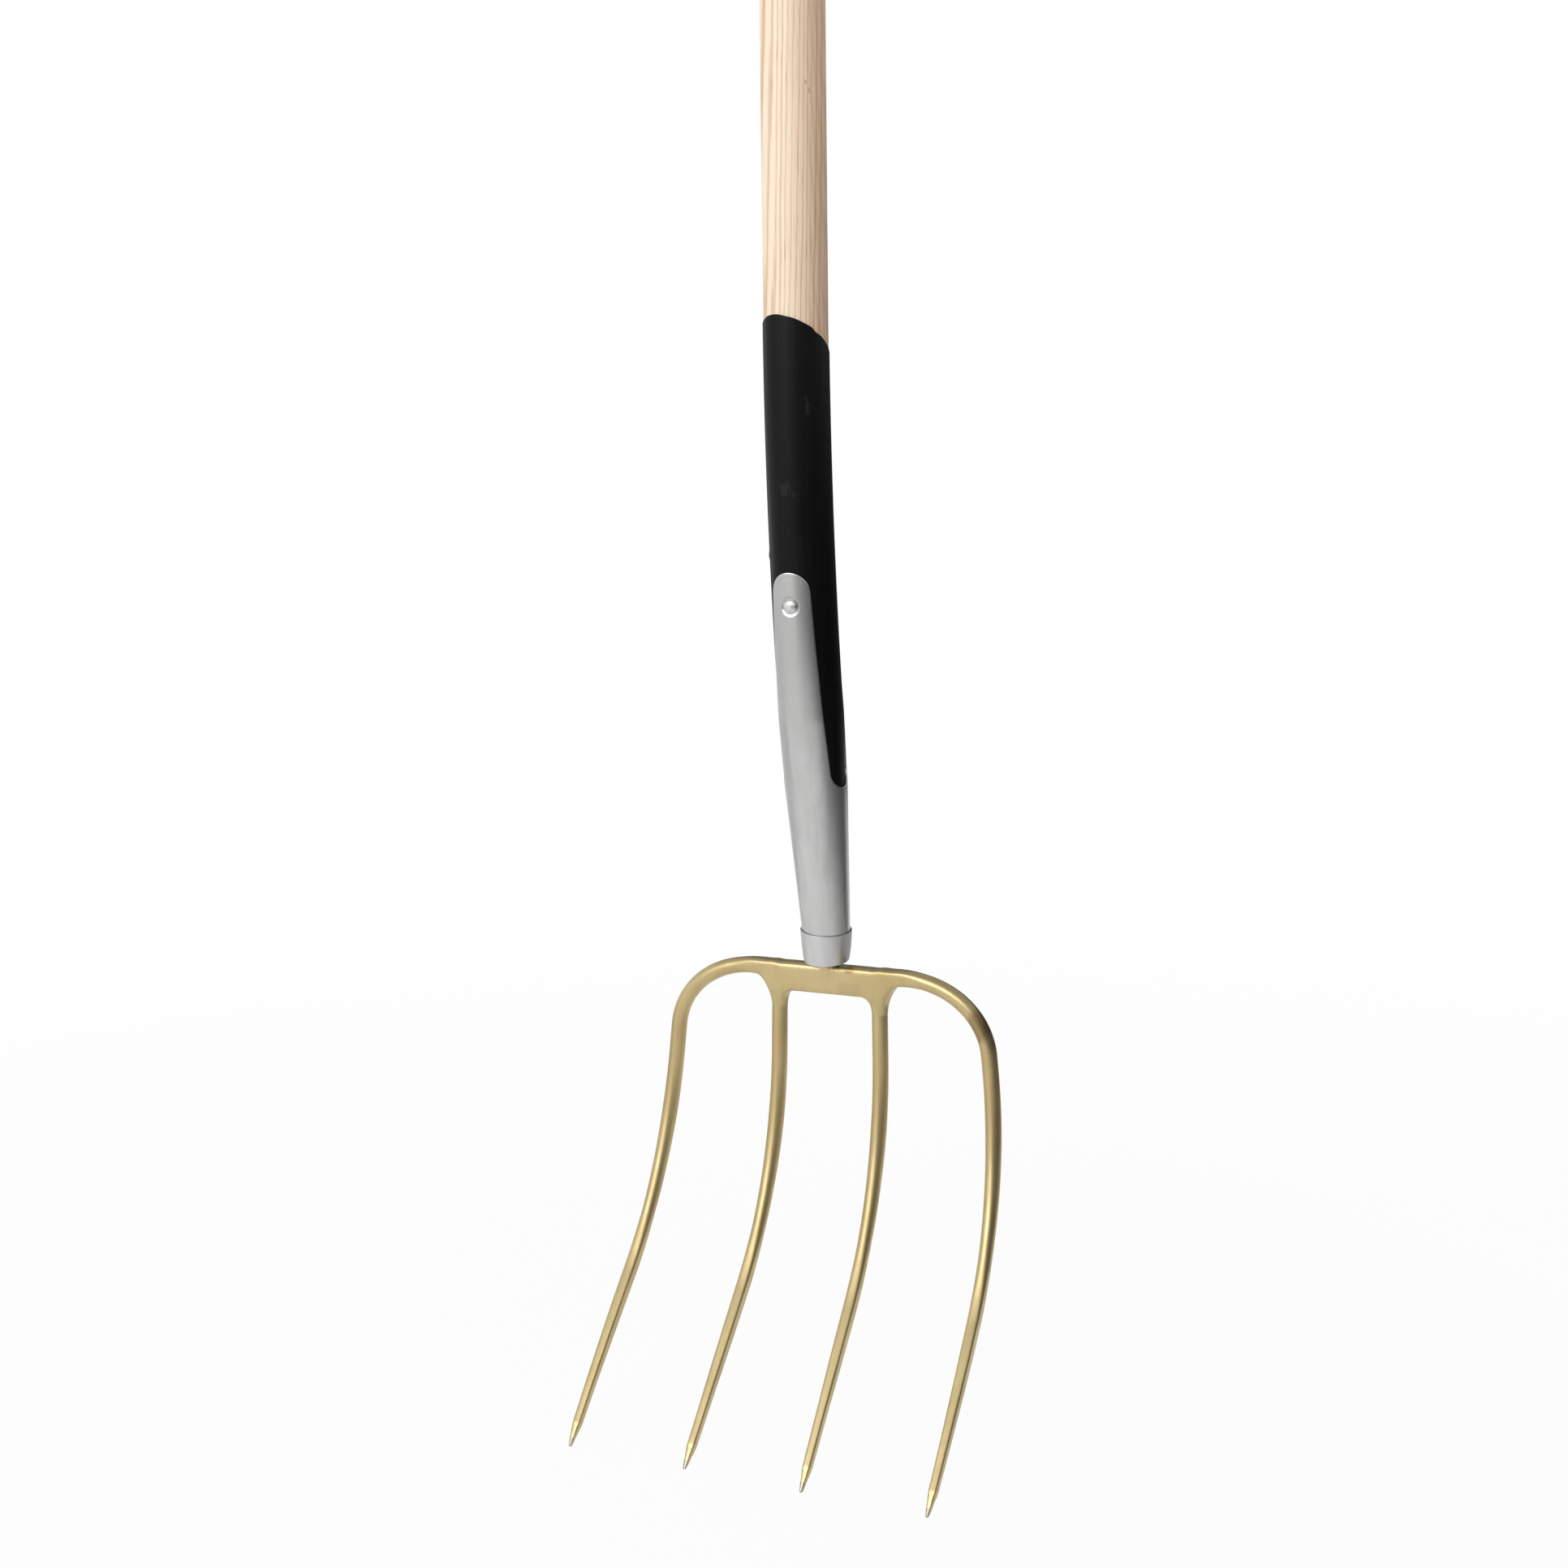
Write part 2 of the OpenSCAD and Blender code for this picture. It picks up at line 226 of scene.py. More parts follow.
# The point at a station, an angle from the front towards the right, and a radius
def aroundPole(s, angle, r):
    s, angle, r = np.broadcast_arrays(s, angle, r)
    y, z, turn = axisAt(s)
    forward = r * np.cos(angle)
    return np.stack([r * np.sin(angle), y - forward * np.cos(turn), z - forward * np.sin(turn)], -1)


# Even down to the end of the bend, then a straight taper
def poleRadius(s):
    return np.interp(s, [pole["bend"], poleEnd], [pole["radius"], pole["endRadius"]])


def roundAngles(count):
    return np.arange(count) * 2 * np.pi / count


# Bare ash: year rings cut as long lines, each of its own strength, fine fibres, pores and slanted flames.
# The right of the facing side goes warmer and browner, partly heartwood colour and partly painted shade
ashFinish = dict(pale=(0.90, 0.745, 0.575), line=(0.60, 0.42, 0.27), warm=(0.895, 0.675, 0.483),
                 brown=(0.82, 0.56, 0.375), flame=(0.57, 0.34, 0.205), core=(0.42, 0.28, 0.17),
                 lineDepth=0.85, flameDepth=0.42, fibreDepth=0.18, speckDepth=0.7,
                 roughness=0.52, roughest=0.66, specular=0.35)
ashGrain = dict(ringGap=2.9, ringTurn=-12.0, ringSlant=0.02, wander=0.4, uneven=1.1, flameGap=3.6,
                flameSlant=0.085, flameWander=3.0, flameRipple=1.2)
# Cells to the metre of each pattern, across and along
ashScale = dict(drift=(14, 14, 3), ripple=(50, 50, 22), uneven=(170, 170, 1.5), fibre=(1100, 1100, 16),
                pores=(1700, 1700, 45), broad=(38, 38, 1.6))
ashSpecks = [dict(at=(6.7, 126.6), size=(1.2, 1.7)), dict(at=(9.0, 122.0), size=(1.0, 2.2))]


def ashWood():
    material, place, feed = newFinish("ash_wood")
    turn = math.radians(ashGrain["ringTurn"])
    x, y, z = place.axes()
    across = x * math.cos(facing) + y * math.sin(facing)
    nearer = x * math.sin(facing) - y * math.cos(facing)
    drift = place.stretched(ashScale["drift"]).noise(1.0, 2.0, 0.5) - 0.5
    ripple = place.stretched(ashScale["ripple"], (2, 9, 5)).noise(1.0, 2.0, 0.5) - 0.5
    uneven = place.stretched(ashScale["uneven"], (4, 1, 8)).noise(1.0, 1.0, 0.5) - 0.5
    cut = across * math.cos(turn) + nearer * math.sin(turn) - z * ashGrain["ringSlant"]
    cut = cut / (ashGrain["ringGap"] * mm) + drift * ashGrain["wander"] * 2 + ripple * ashGrain["wander"]
    cut = cut + uneven * ashGrain["uneven"]
    ring = cut.rest()
    year = cut.node("ShaderNodeTexWhiteNoise", {"noise_dimensions": "1D"}, {"W": cut.maths("FLOOR", cut)})
    halves = (cut * 2.0 + 0.35).rest()
    fibre = place.stretched(ashScale["fibre"]).noise(1.0, 4.0, 0.65)
    pores = place.stretched(ashScale["pores"], (3, 5, 1)).noise(1.0, 1.0, 0.4).ease(0.6, 0.72)
    broad = place.stretched(ashScale["broad"], (7, 2, 4)).noise(1.0, 2.0, 0.5)
    side = across / (pole["radius"] * mm) + (broad - 0.5) * 0.3
    band = ring.ease(0.3, 0.68) * (1 - ring.ease(0.74, 0.94))
    between = halves.ease(0.35, 0.7) * (1 - halves.ease(0.75, 0.95)) * side.ease(-0.25, 0.1)
    strength = (band * (year.ease(0.0, 1.0) * 0.6 + 0.5) + between * 0.4) * (fibre * 0.8 + 0.5)
    slanted = (across + z * ashGrain["flameSlant"]) / (ashGrain["flameGap"] * mm)
    slanted = slanted + drift * ashGrain["flameWander"] + ripple * ashGrain["flameRipple"]
    tongue = slanted.rest()
    flame = tongue.ease(0.15, 0.6) * (1 - tongue.ease(0.66, 0.95))
    flame = flame * side.ease(0.25, 0.55) * (fibre * 0.9 + 0.3)
    # Painted shade in part: warmer, then browner towards the right of the facing side, the rest heartwood
    # colour
    color = (side.ease(-0.2, 0.12) * 0.6).tint(ashFinish["pale"], ashFinish["warm"])
    color = (side.ease(0.36, 0.46) * 0.35 + side.ease(0.5, 0.85) * 0.4).tint(color, ashFinish["brown"])
    color = (strength * ashFinish["lineDepth"]).clip().tint(color, ashFinish["line"])
    color = (flame * ashFinish["flameDepth"]).clip().tint(color, ashFinish["flame"])
    for speck in ashSpecks:
        spot = (spotReach(speck, across, z) + ripple * 2.0).ease(0.1, 1.1, ashFinish["speckDepth"], 0.0)
        color = (spot * nearer.ease(0.0, 0.004)).tint(color, ashFinish["flame"])
    color = (fibre.ease(0.4, 0.75) * ashFinish["fibreDepth"]).tint(color, ashFinish["line"])
    color = (pores * (band * 0.4 + 0.2)).tint(color, ashFinish["core"])
    relief = (fibre * 0.6 - pores * 0.8 - band * 0.25).bump(0.12, 0.5)
    rough = fibre.ease(0.2, 0.8, ashFinish["roughness"], ashFinish["roughest"])
    feed(color=color, roughness=rough, normal=relief, specular=ashFinish["specular"])
    return material


# Pole surface: its radius by station, from the middle of the domed butt to the middle of the lower end
def buildHandle():
    corner = pole["buttRound"]
    butt = np.radians(np.linspace(90, 0, 14))[1:]
    capR = np.linspace(0, pole["radius"] - corner, 8)
    capS = np.full(8, -pole["straight"] - corner)
    along = np.concatenate([np.linspace(-pole["straight"], 0, 96)[1:], np.linspace(0, pole["bend"], 61)[1:],
                            np.linspace(pole["bend"], poleEnd, 32)[1:]])
    endR = np.linspace(pole["endRadius"], 0, 7)[1:]
    s = np.concatenate([capS, -pole["straight"] - corner * np.sin(butt), along, np.full(6, poleEnd)])
    r = np.concatenate([capR, pole["radius"] - corner * (1 - np.cos(butt)), poleRadius(along), endR])
    angle = roundAngles(144)
    points = aroundPole(s[:, None], angle[None, :], r[:, None])
    makePiece("ashHandle", points, gridFaces(len(s), len(angle), True), "handle", ashWood())


buildHandle()

# The black sleeve: a thin skin with a slanted top edge, shrunk onto the pole
sleeve = dict(gap=0.15, wall=0.4, top=16.8, slope=34.8, turn=12.8, end=301.0, wave=0.18,
              nickAt=58.0, nickWide=5.0, nickDeep=0.4, blisterAt=142.5, blisterAngle=-64.0,
              blisterHeight=0.55, blisterSpread=1.1)
sleeveWaves = [(3, 1.1, 1.0), (7, 0.4, 0.6), (13, 0.0, 0.3)]  # how many round the edge, start and size
sleeveFinish = dict(color=(0.0028, 0.0029, 0.0029), scuff=(0.045, 0.045, 0.046), scuffDepth=0.35,
                    roughness=0.43, specular=0.12)
sleeveScale = dict(streak=(260, 260, 9), scuff=(70, 70, 26), rub=(330, 330, 150), speck=900.0, fine=420.0)
# Rubbed marks, by the distance across the facing side and the height
sleeveMarks = [dict(at=(-5.0, -104.0), size=(9.0, 6.0)), dict(at=(7.0, -54.0), size=(6.0, 9.0))]


def blackSleeve():
    material, place, feed = newFinish("black_sleeve")
    streak = place.stretched(sleeveScale["streak"]).noise(1.0, 3.0, 0.6)
    speck = place.noise(sleeveScale["speck"], 2.0, 0.5).ease(0.66, 0.76)
    scuff = place.stretched(sleeveScale["scuff"], (1, 4, 2)).noise(1.0, 5.0, 0.68).ease(0.6, 0.78)
    x, y, z = place.axes()
    across = x * math.cos(facing) + y * math.sin(facing)
    rub = place.stretched(sleeveScale["rub"], (5, 2, 7)).noise(1.0, 3.0, 0.6).ease(0.5, 0.68)
    for mark in sleeveMarks:
        scuff = scuff + spotReach(mark, across, z).ease(0.1, 1.0, 0.9, 0.0) * rub
    shown = (scuff * sleeveFinish["scuffDepth"] + speck * sleeveFinish["scuffDepth"]).clip()
    color = shown.tint(sleeveFinish["color"], sleeveFinish["scuff"])
    rough = streak.ease(0.25, 0.75, sleeveFinish["roughness"] - 0.05, sleeveFinish["roughness"] + 0.09)
    relief = (streak * 0.7 + place.noise(sleeveScale["fine"], 2.0, 0.5) * 0.3).bump(0.1, 0.35)
    feed(color=color, roughness=rough + scuff * 0.12, normal=relief, specular=sleeveFinish["specular"])
    return material


# Sleeve surface: up the inside, over a half-round lip along the slanted edge, and down the outside.
# The edge is a cosine of the angle with small waves, and one nick where it was cut
def buildSleeve():
    angle = roundAngles(216)
    tilt = np.tan(np.radians(sleeve["slope"])) * (pole["radius"] + sleeve["gap"] + sleeve["wall"])
    edge = sleeve["top"] - tilt * np.cos(angle + np.radians(sleeve["turn"]))
    edge = edge + sleeve["wave"] * sum(size * np.sin(count * angle + at) for count, at, size in sleeveWaves)
    nick = (np.degrees(angle) - sleeve["nickAt"]) / sleeve["nickWide"]
    edge = edge + sleeve["nickDeep"] * nick * np.exp(0.5 - nick ** 2 / 2)
    half = sleeve["wall"] / 2
    lip = np.radians(np.linspace(-90, 90, 9))[:, None]
    lipS = edge[None, :] + half * (1 - np.cos(lip))
    lipGrow = half + half * np.sin(lip) + 0 * edge[None, :]
    share = (np.linspace(0, 1, 150)[1:] ** 1.15)[:, None]
    outS = edge[None, :] + half + share * (sleeve["end"] - edge[None, :] - half)
    inS = outS[::-4]
    s = np.concatenate([inS, lipS, outS])
    grow = np.concatenate([np.zeros(inS.shape), lipGrow, np.full(outS.shape, sleeve["wall"])])
    swing = (angle[None, :] - np.radians(sleeve["blisterAngle"]) + np.pi) % (2 * np.pi) - np.pi
    far = (swing * pole["radius"]) ** 2 + (s - sleeve["blisterAt"]) ** 2
    blister = sleeve["blisterHeight"] * np.exp(-far / (2 * sleeve["blisterSpread"] ** 2))
    r = poleRadius(s) + sleeve["gap"] + grow + blister * (grow > half)
    points = aroundPole(s, angle[None, :], r)
    faces = gridFaces(len(s), len(angle), True, True)
    makePiece("shrunkSleeve", points, faces, "handle_sleeve", blackSleeve())


buildSleeve()

# The strapped socket: a rolled sheet with a rounded strap front and back and a round notch each side
socket = dict(gap=0.7, wall=1.5, tip=151.0, tipRound=13.3, notchBottom=285.0, notchRound=11.7,
              edgeRound=0.5, border=1.3, rivetAt=171.0, seatRadius=5.7, seatDepth=0.75, seatSoft=1.0,
              fineTo=182.0, tubeFrom=300.0, columns=81)
# dimFrom, dimTo and dim give the heights in metres and the strength of the painted shade higher up
silverFinish = dict(color=(0.585, 0.585, 0.58), shade=(0.42, 0.42, 0.415), worn=(0.7, 0.7, 0.695),
                    metallic=0.92, roughness=0.34, dimFrom=-0.30, dimTo=-0.17, dim=0.8,
                    cloudDepth=0.3, dragDepth=0.3, flakeDepth=0.25, wornDepth=0.7)
silverScale = dict(flake=1500.0, cloud=(30, 30, 14), drag=(220, 220, 7))


# Silver paint: cloudy and drawn lengthwise, with painted shade that darkens it higher up, and bright worn
# sheet edges
def silverPaint(finish):
    material, place, feed = newFinish("silver_paint")
    flake = place.noise(silverScale["flake"], 2.0, 0.6)
    cloud = place.stretched(silverScale["cloud"]).noise(1.0, 4.0, 0.6)
    drag = place.stretched(silverScale["drag"]).noise(1.0, 3.0, 0.6)
    rim = meshValue(place, "rim", "Fac")
    # Painted shade: the paint goes darker higher up, by the height
    paintedShade = place.axes()[2].ease(finish["dimFrom"], finish["dimTo"], 0.0, finish["dim"])
    dull = (cloud.ease(0.3, 0.75) * finish["cloudDepth"] + paintedShade).clip()
    color = dull.tint(finish["color"], finish["shade"])
    color = (drag.ease(0.42, 0.68) * finish["dragDepth"]).tint(color, finish["shade"])
    color = (flake.ease(0.45, 0.8) * finish["flakeDepth"]).tint(color, finish["worn"])
    color = (rim * cloud.ease(0.3, 0.6) * finish["wornDepth"]).tint(color, finish["worn"])
    rough = cloud.ease(0.25, 0.75, finish["roughness"] - 0.04, finish["roughness"] + 0.06)
    relief = (flake * 0.35 + drag * 0.65).bump(0.08, 0.3)
    feed(color=color, metallic=finish["metallic"], roughness=rough - rim * 0.08, normal=relief)
    return material


# Radius of the sheet's outside
def sheetRadius(s):
    return poleRadius(s) + socket["gap"] + socket["wall"]


# Rows of one strap run from its tip to the notch. Each row goes round the sheet: across the outside,
# over the rounded edge, back along the inside and over the other edge. The edge is drawn on the unrolled
# sheet as a quarter circle, a straight side and a hollow quarter circle, and points near it lie square to it
def strapGrid():
    quarter = np.pi / 2 * sheetRadius(socket["notchBottom"])
    tipRound = socket["tipRound"]
    hollow = socket["notchRound"]
    start = (tipRound, socket["tip"] + tipRound)
    finish = (quarter - hollow, socket["notchBottom"] - hollow)
    quarterTurn = np.radians(np.linspace(0, 90, 30))
    sin, cos = np.sin(quarterTurn), np.cos(quarterTurn)
    sideS = np.concatenate([np.linspace(start[1], socket["fineTo"], 40)[1:],
                            np.linspace(socket["fineTo"], finish[1], 52)[1:-1]])
    slope = (finish[0] - start[0]) / (finish[1] - start[1])
    sideX = start[0] + (sideS - start[1]) * slope
    edgeX = np.concatenate([tipRound * sin, sideX, quarter - hollow * cos])
    edgeS = np.concatenate([socket["tip"] + tipRound * (1 - cos), sideS, finish[1] + hollow * sin])
    inX = np.concatenate([-sin, np.full(len(sideS), -1.0), -cos])
    inS = np.concatenate([cos, np.full(len(sideS), slope), sin])
    turn = np.radians(np.linspace(90, -90, 11))
    corner = socket["edgeRound"]
    edgeD = corner * (1 - np.cos(turn))
    edgeH = corner * np.sin(turn) + (socket["wall"] / 2 - corner) * np.sign(turn)
    borderX = edgeX[:, None] + inX[:, None] * edgeD[None, :]
    borderS = edgeS[:, None] + inS[:, None] * edgeD[None, :]
    borderAngle = np.minimum(borderX / sheetRadius(borderS), np.pi / 2)
    rowX = edgeX + inX * socket["border"]
    rowS = edgeS + inS * socket["border"]
    rowAngle = np.minimum(rowX / sheetRadius(rowS), np.pi / 2)
    span = np.linspace(-1, 1, socket["columns"])
    innerAngle = rowAngle[:, None] * span[None, :]
    innerS = np.repeat(rowS[:, None], len(span), 1)
    half = np.full(innerS.shape, socket["wall"] / 2)
    border = np.repeat(edgeH[None, :], len(rowS), 0)
    angle = np.concatenate([innerAngle, borderAngle, innerAngle[:, ::-1], -borderAngle[:, ::-1]], 1)
    s = np.concatenate([innerS, borderS, innerS, borderS[:, ::-1]], 1)
    h = np.concatenate([half, border, -half, border[:, ::-1]], 1)
    rim = np.concatenate([half * 0, border * 0 + 1, half * 0, border * 0 + 1], 1)
    return angle, s, h, rim, rowS[-1]


# A shallow round seat pressed into the outside of each strap for the rivet
def seatDip(angle, s, h):
    reach = np.hypot(angle * sheetRadius(s), s - socket["rivetAt"])
    edge = socket["seatRadius"]
    dip = 1 - smooth(reach, edge - socket["seatSoft"], edge + socket["seatSoft"] * 0.5)
    return -socket["seatDepth"] * dip * (h > 0)


# Front half and back half alike: a strap, the outside and the inside of the tube below it, and the tube's
# lower end. The tube is a half turn at the pole's radius plus the gap and the wall
def buildSocket():
    angle, s, h, rim, seam = strapGrid()
    middle = socket["gap"] + socket["wall"] / 2
    r = poleRadius(s) + middle + h + seatDip(angle, s, h)
    strapFaces = gridFaces(*s.shape, True)
    tubeS = np.concatenate([np.linspace(seam, socket["tubeFrom"], 8),
                            np.linspace(socket["tubeFrom"], poleEnd, 40)[1:]])[:, None]
    tubeAngle = (np.pi / 2 * np.linspace(-1, 1, socket["columns"]))[None, :]
    wall = socket["wall"] / 2
    points, faces, rims = [], [], []

    def add(grid, quads, edge):
        faces.append(quads + sum(len(p) for p in points))
        points.append(grid.reshape(-1, 3))
        rims.append(edge.ravel())

    for side in (0, np.pi):
        add(aroundPole(s, angle + side, r), strapFaces, rim)
        for level in (wall, -wall):
            tube = aroundPole(tubeS, tubeAngle + side, poleRadius(tubeS) + middle + level)
            add(tube, gridFaces(*tube.shape[:2]), np.zeros(tube.shape[:2]))
        ends = np.stack([aroundPole(poleEnd, tubeAngle[0] + side, pole["endRadius"] + middle + level)
                         for level in (wall, -wall)])
        add(ends, gridFaces(*ends.shape[:2]), np.zeros(ends.shape[:2]))
    makePiece("strappedSocket", np.concatenate(points), np.concatenate(faces), "strapped_socket",
              silverPaint(silverFinish), {"rim": np.concatenate(rims)})


buildSocket()

# The ferrule: a cup that draws in towards its base, with a bevelled rim round the socket
ferrule = dict(base=398.0, height=20.5, baseRadius=12.7, rimRadius=16.1, draw=0.6, foot=1.3, bore=6.2,
               seatDepth=11.65, seatRadius=14.6, throat=15.15, bevel=0.45, rimRound=0.35, underRing=9.0,
               skew=4.0, lean=1.8)
ferruleFinish = dict(silverFinish, color=(0.63, 0.63, 0.63), shade=(0.48, 0.48, 0.48), metallic=0.85,
                     roughness=0.5)


# Ferrule profile by height: a rounded foot, sides that draw in by a power of the height, a rim and the
# seat. The rim sits a little askew, lower on the right, by a share of the height, and the foot leans left
def buildFerrule():
    height = ferrule["height"]
    widening = ferrule["rimRadius"] - ferrule["baseRadius"]

    def side(z):
        return ferrule["baseRadius"] + widening * (z / height) ** ferrule["draw"]

    foot = ferrule["foot"]
    turn = np.radians(np.linspace(-90, 0, 8))
    footR = side(foot) - foot + foot * np.cos(turn)
    footZ = foot + foot * np.sin(turn)
    lip = ferrule["rimRound"]
    sideZ = np.linspace(foot, height - lip, 28)[1:]
    rimTurn = np.radians(np.linspace(0, 90, 6))[1:]
    rimR = side(height) - lip + lip * np.cos(rimTurn)
    rimZ = height - lip + lip * np.sin(rimTurn)
    bevel = ferrule["bevel"]
    seatZ = height - ferrule["seatDepth"]
    throat = ferrule["throat"]
    tailR = np.array([throat + bevel * 0.4, throat, ferrule["seatRadius"], ferrule["bore"]])
    tailZ = np.array([height - bevel * 0.4, height - bevel * 1.6, seatZ, seatZ])
    r = np.concatenate([[ferrule["bore"], ferrule["underRing"]], footR, side(sideZ), rimR, tailR])
    z = np.concatenate([[0, 0], footZ, sideZ, rimZ, tailZ])
    rim = np.concatenate([np.zeros(2 + len(footR) + len(sideZ)), np.ones(len(rimR)), np.zeros(4)])
    angle = roundAngles(144)
    askew = math.tan(math.radians(ferrule["skew"])) * np.sin(angle - facing)
    s = ferrule["base"] - z[:, None] * (1 - askew[None, :] * r[:, None] / height)
    leaning = ferrule["lean"] * (1 - np.sin(angle - facing)) / 2
    outside = np.concatenate([[0, 0.5], np.ones(len(r) - 6), np.zeros(4)]) * (1 - z / height)
    points = aroundPole(s, angle[None, :], r[:, None] + outside[:, None] * leaning[None, :])
    faces = gridFaces(len(r), len(angle), True, True)
    makePiece("ferruleCup", points, faces, "ferrule", silverPaint(ferruleFinish),
              {"rim": np.repeat(rim, len(angle))})


buildFerrule()

# The rivet: two low hammered domes joined by a shank, across the handle
rivet = dict(headRadius=4.25, headHeight=1.9, edge=0.35, shank=3.0, dent=0.1, crown=2.4, brow=0.75)
zincFinish = dict(color=(0.66, 0.66, 0.65), dull=(0.42, 0.42, 0.41), dullDepth=0.6, roughness=0.27,
                  roughest=0.47, spangle=700.0, hammer=450.0, hammerHeight=0.25)


# Bright zinc: spangled, with a hammered relief
def brightZinc():
    material, place, feed = newFinish("bright_zinc")
    spangle = place.noise(zincFinish["spangle"], 3.0, 0.6)
    color = (spangle.ease(0.4, 0.7) * zincFinish["dullDepth"]).tint(zincFinish["color"], zincFinish["dull"])
    rough = spangle.ease(0.3, 0.7, zincFinish["roughness"], zincFinish["roughest"])
    relief = place.noise(zincFinish["hammer"], 2.0, 0.5).bump(zincFinish["hammerHeight"], 0.5)
    feed(color=color, metallic=1.0, roughness=rough, normal=relief)
    return material


# Rivet profile by height above the seat, as a dome with a power of its radius, turned and dented by sines
def buildRivet():
    across = np.linspace(0, 1, 18)
    dome = (1 - across ** rivet["crown"]) ** rivet["brow"]
    dome = rivet["edge"] + (rivet["headHeight"] - rivet["edge"]) * dome
    seat = pole["radius"] + socket["gap"] + socket["wall"] - socket["seatDepth"]
    headR = np.concatenate([rivet["headRadius"] * across, [rivet["headRadius"], rivet["shank"]]])
    headH = np.concatenate([dome, [0.0, 0.0]]) + seat
    r = np.concatenate([headR, headR[::-1]])[:, None]
    h = np.concatenate([headH, -headH[::-1]])[:, None]
    angle = roundAngles(72)[None, :]
    dents = np.sin(2 * angle + 0.8) * np.cos(1.3 * r + 0.5) + 0.7 * np.sin(3 * angle - 1.9 * r + 2.0)
    top = np.abs(h) - seat > rivet["edge"]
    share = r / rivet["headRadius"]
    h = h + np.sign(h) * rivet["dent"] * dents * top * share * (1 - share ** 4)
    y, z, turn = axisAt(np.array(socket["rivetAt"]))
    rise = r * np.sin(angle)
    points = np.stack([r * np.cos(angle) + 0 * h, y - h * np.cos(turn) - rise * np.sin(turn),
                       z - h * np.sin(turn) + rise * np.cos(turn)], -1)
    faces = gridFaces(*points.shape[:2], True)
    makePiece("throughRivet", points, faces, "rivet", brightZinc())


buildRivet()

# The forged head, drawn on a flat blank: u across, v down from the root line and w to the front.
# The blank is then bent to the side view, a straight run, an arc that curls forwards and a straight run
head = dict(rootAt=408.0, lean=8.5, curlStart=51.0, curlRadius=220.0, curlAngle=40.5, tineLength=320.0,
            point=15.0)
bar = dict(rise=7.0, drop=11.2, halfDepth=6.5, flatTo=26.0, shoulderFrom=50.0, shoulderRise=2.4,
           square=6.0, roundFrom=34.0, roundTo=66.0, innerFillet=6.0, outerFillet=9.0, filletFrom=31.0,
           filletTo=37.0, neckUp=2.0, neck=11.0, collarRadius=6.4, collarHeight=3.0, collarFillet=1.2)
tang = dict(length=110.0, neck=9.0, radius=6.0, tipRadius=4.0, sunk=1.0)
tine = dict(radius=5.0, taperFrom=95.0, endHalfWidth=2.62, endHalfDepth=2.5, tipHalf=0.95, endSquare=5.5,
            squareFrom=0.3, squareTo=0.66, innerRoot=34.0, innerTip=38.5, outerTip=118.0, outerFlare=11.5,
            flarePower=2.5, shoulderDrop=41.0, shoulderHandle=0.56, innerTop=4.0, blend=7.0)
netStep = 0.9  # cell of the grid that the head is sampled on


# Middle lines of the tines: the inner one is straight, the outer one flares by a power of the distance
def innerCentre(v):
    return tine["innerRoot"] + (tine["innerTip"] - tine["innerRoot"]) * v / head["tineLength"]


def outerCentre(v):
    share = (head["tineLength"] - v) / (head["tineLength"] - tine["shoulderDrop"])
    return tine["outerTip"] - tine["outerFlare"] * share ** tine["flarePower"]


# The outer path: level along the crossbar, a cubic curve over the shoulder, then the flaring tine
def outerPath():
    drop = tine["shoulderDrop"]
    reach = bar["shoulderFrom"]
    rise = -bar["shoulderRise"]
    middle = (bar["drop"] - bar["rise"]) / 2
    flat = np.linspace(0, reach, 26)[:-1]
    flatV = middle + (rise - middle) * smooth(flat, bar["flatTo"], reach)
    pull = tine["shoulderHandle"]
    endU = outerCentre(drop)
    endSlope = tine["outerFlare"] * tine["flarePower"] / (head["tineLength"] - drop)
    t = np.linspace(0, 1, 60)
    weights = np.stack([(1 - t) ** 3, 3 * t * (1 - t) ** 2, 3 * t * t * (1 - t), t ** 3])
    handle = pull * (drop - rise)
    curveU = np.array([reach, reach + pull * (endU - reach), endU - handle * endSlope, endU]) @ weights
    curveV = np.array([rise, rise, drop - handle, drop]) @ weights
    fallV = np.linspace(drop, head["tineLength"] - tine["tipHalf"], 60)[1:]
    return np.concatenate([flat, curveU, outerCentre(fallV)]), np.concatenate([flatV, curveV, fallV])


pathU, pathV = outerPath()


# Nearest point of the outer path: its distance, and its place on the path
def nearPath(u, v):
    best = np.full(u.shape, 1e9)
    atU = np.zeros(u.shape)
    atV = np.zeros(u.shape)
    for a, b, c, d in zip(pathU[:-1], pathV[:-1], pathU[1:], pathV[1:]):
        alongU = c - a
        alongV = d - b
        t = np.clip(((u - a) * alongU + (v - b) * alongV) / (alongU ** 2 + alongV ** 2), 0, 1)
        nearU = a + t * alongU
        nearV = b + t * alongV
        gap = (u - nearU) ** 2 + (v - nearV) ** 2
        closer = gap < best
        best = np.where(closer, gap, best)
        atU = np.where(closer, nearU, atU)
        atV = np.where(closer, nearV, atV)
    return np.sqrt(best), atU, atV


# Half width, half depth and squareness of a tine at a distance down it
def tineSection(v):
    bodyEnd = head["tineLength"] - head["point"]
    share = np.clip((v - tine["taperFrom"]) / (bodyEnd - tine["taperFrom"]), 0, 1)
    tip = np.clip((v - bodyEnd) / head["point"], 0, 1)
    width = tine["radius"] + share * (tine["endHalfWidth"] - tine["radius"])
    depth = tine["radius"] + share * (tine["endHalfDepth"] - tine["radius"])
    width = width + tip * (tine["tipHalf"] - width)
    depth = depth + tip * (tine["tipHalf"] * 0.8 - depth)
    return width, depth, 2 + smooth(share, tine["squareFrom"], tine["squareTo"]) * (tine["endSquare"] - 2)


# The two outlines joined with a round fillet, as distances that are negative inside
def filletJoin(first, second, radius):
    corner = np.hypot(np.maximum(radius - first, 0), np.maximum(radius - second, 0))
    return np.maximum(radius, np.minimum(first, second)) - corner


